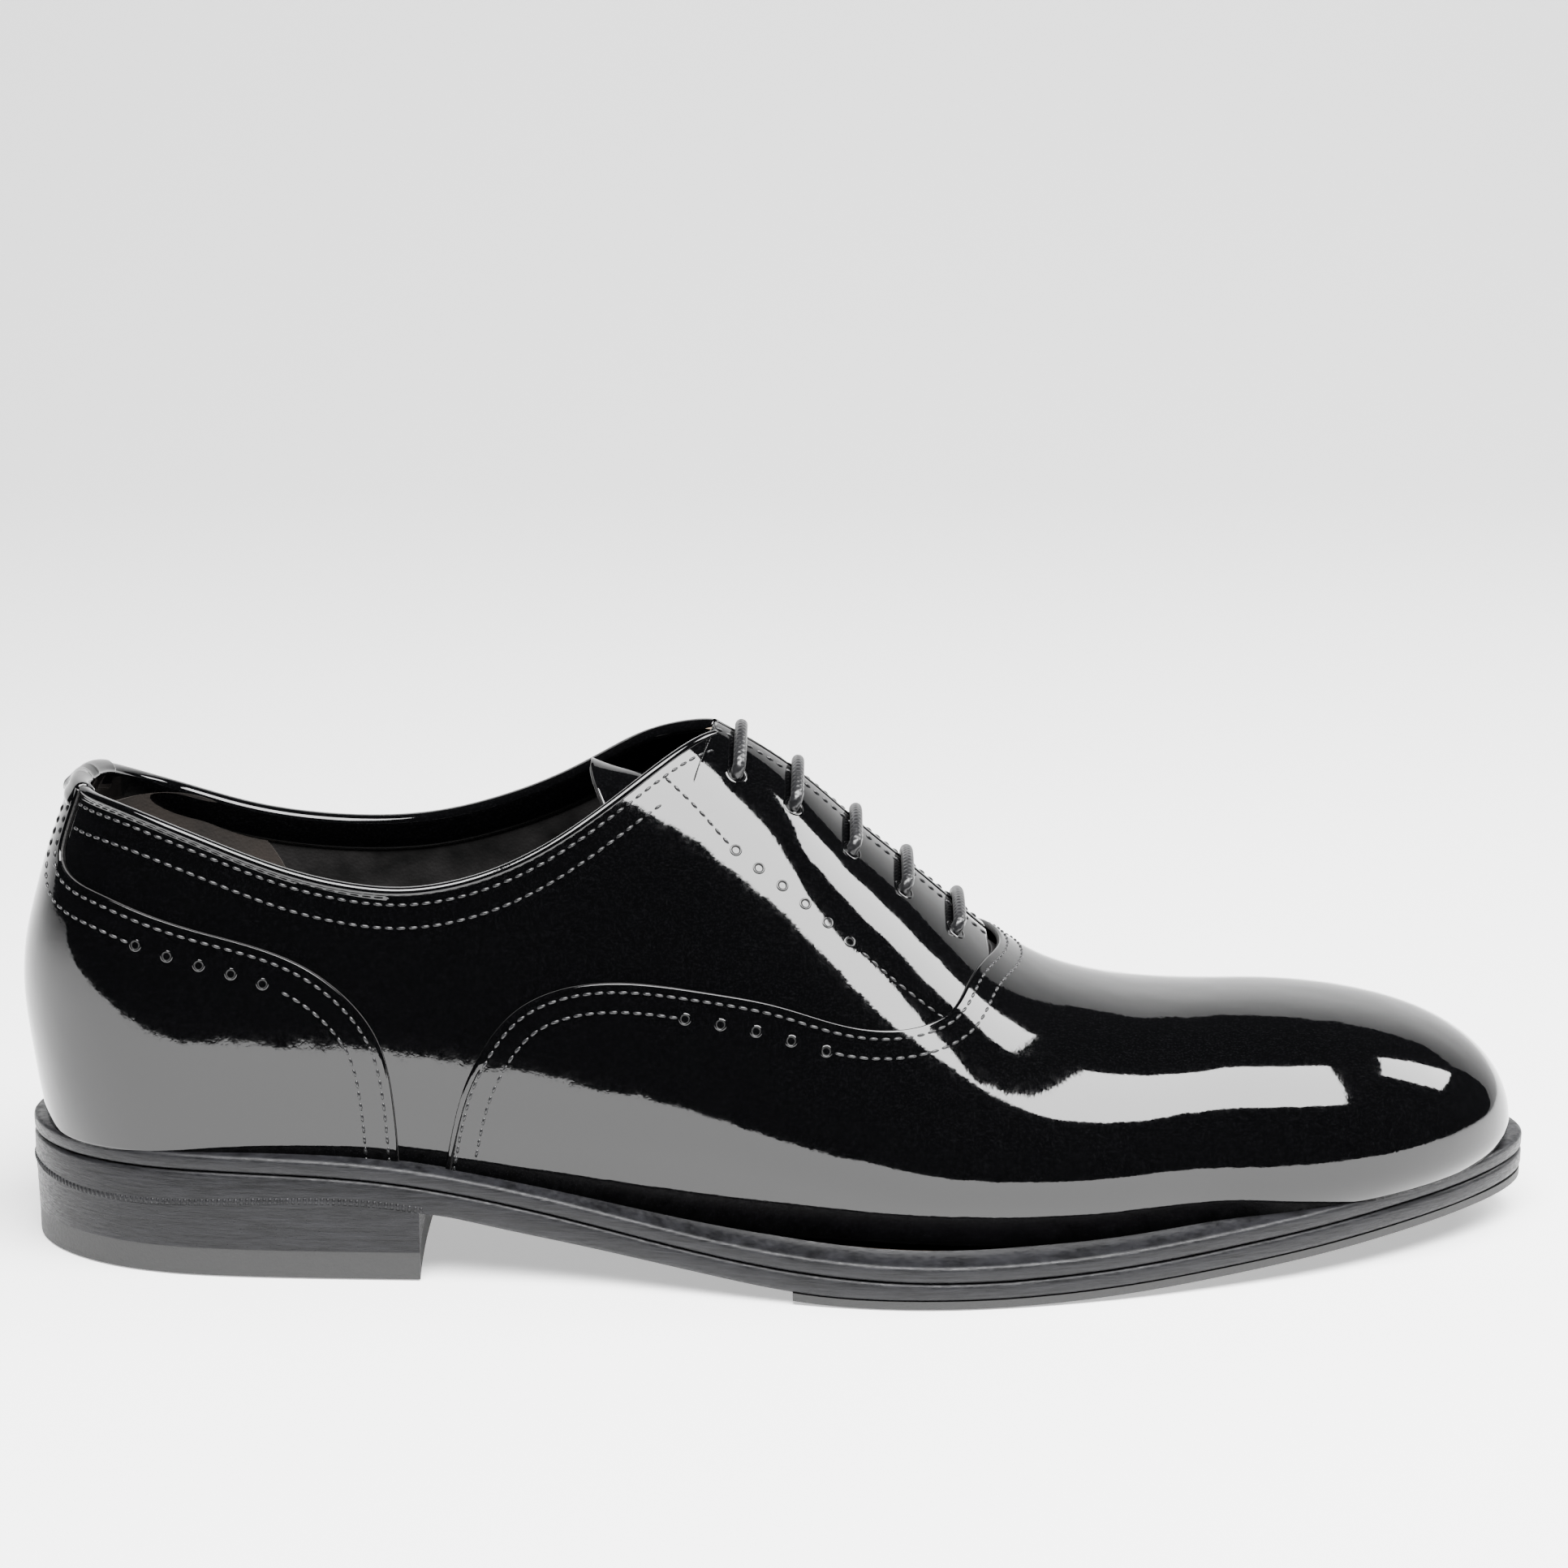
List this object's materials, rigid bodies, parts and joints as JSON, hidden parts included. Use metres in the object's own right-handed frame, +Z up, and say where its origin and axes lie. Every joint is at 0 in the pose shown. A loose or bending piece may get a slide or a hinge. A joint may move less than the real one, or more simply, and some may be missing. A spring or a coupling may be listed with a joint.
{
  "type": "leather oxford shoe",
  "caption": "Right leather oxford shoe with closed lacing, plain toe, heel foxing, stacked heel and an open collar; the tongue swings inwards.",
  "frame": {"origin": "middle of the shoe's bounding box, on the floor plane", "axes": "+X towards the toe, +Y towards the inner side, +Z up"},
  "size_m": [0.3061, 0.1022, 0.1045],
  "materials": {
    "patent_leather": "gloss",
    "lining_leather": "satin",
    "grip_suede": "matte",
    "sole_leather": "satin",
    "heel_leather": "satin",
    "tread_rubber": "matte",
    "insole_board": "matte",
    "cork": "matte",
    "spring_steel": "satin",
    "brass": "satin",
    "stiffener_board": "matte",
    "lace_cotton": "satin",
    "aglet_plastic": "gloss",
    "eyelet_metal": "satin"
  },
  "bodies": {
    "shoe": {"heel_top_piece": "tread_rubber", "heel_lift_1": "heel_leather", "heel_lift_2": "heel_leather", "heel_lift_3": "heel_leather", "heel_lift_4": "heel_leather", "heel_nails": "brass", "outsole": "sole_leather", "forepart_rubber_sole": "tread_rubber", "welt": "sole_leather", "cork_filler": "cork", "shank": "spring_steel", "insole": "insole_board", "sock_liner": "lining_leather", "vamp": "patent_leather", "heel_foxing": "patent_leather", "quarter_lateral": "patent_leather", "quarter_medial": "patent_leather", "topline_binding": "patent_leather", "toe_puff": "stiffener_board", "heel_stiffener": "stiffener_board", "facing_stay_lateral": "stiffener_board", "facing_stay_medial": "stiffener_board", "blind_eyelets_lateral": "eyelet_metal", "blind_eyelets_medial": "eyelet_metal", "vamp_lining": "lining_leather", "quarter_lining_lateral": "lining_leather", "quarter_lining_medial": "lining_leather", "heel_grip": "grip_suede", "lace": "lace_cotton", "lace_aglets": "aglet_plastic"},
    "tongue": {"tongue": "patent_leather", "tongue_lining": "lining_leather"}
  },
  "joints": [
    {"name": "tongue_swing", "type": "hinge", "parent": "shoe", "child": "tongue", "pos_m": [0.045, 0, 0.0508], "axis": [0, -1, 0], "range_deg": [0, 14]}
  ]
}
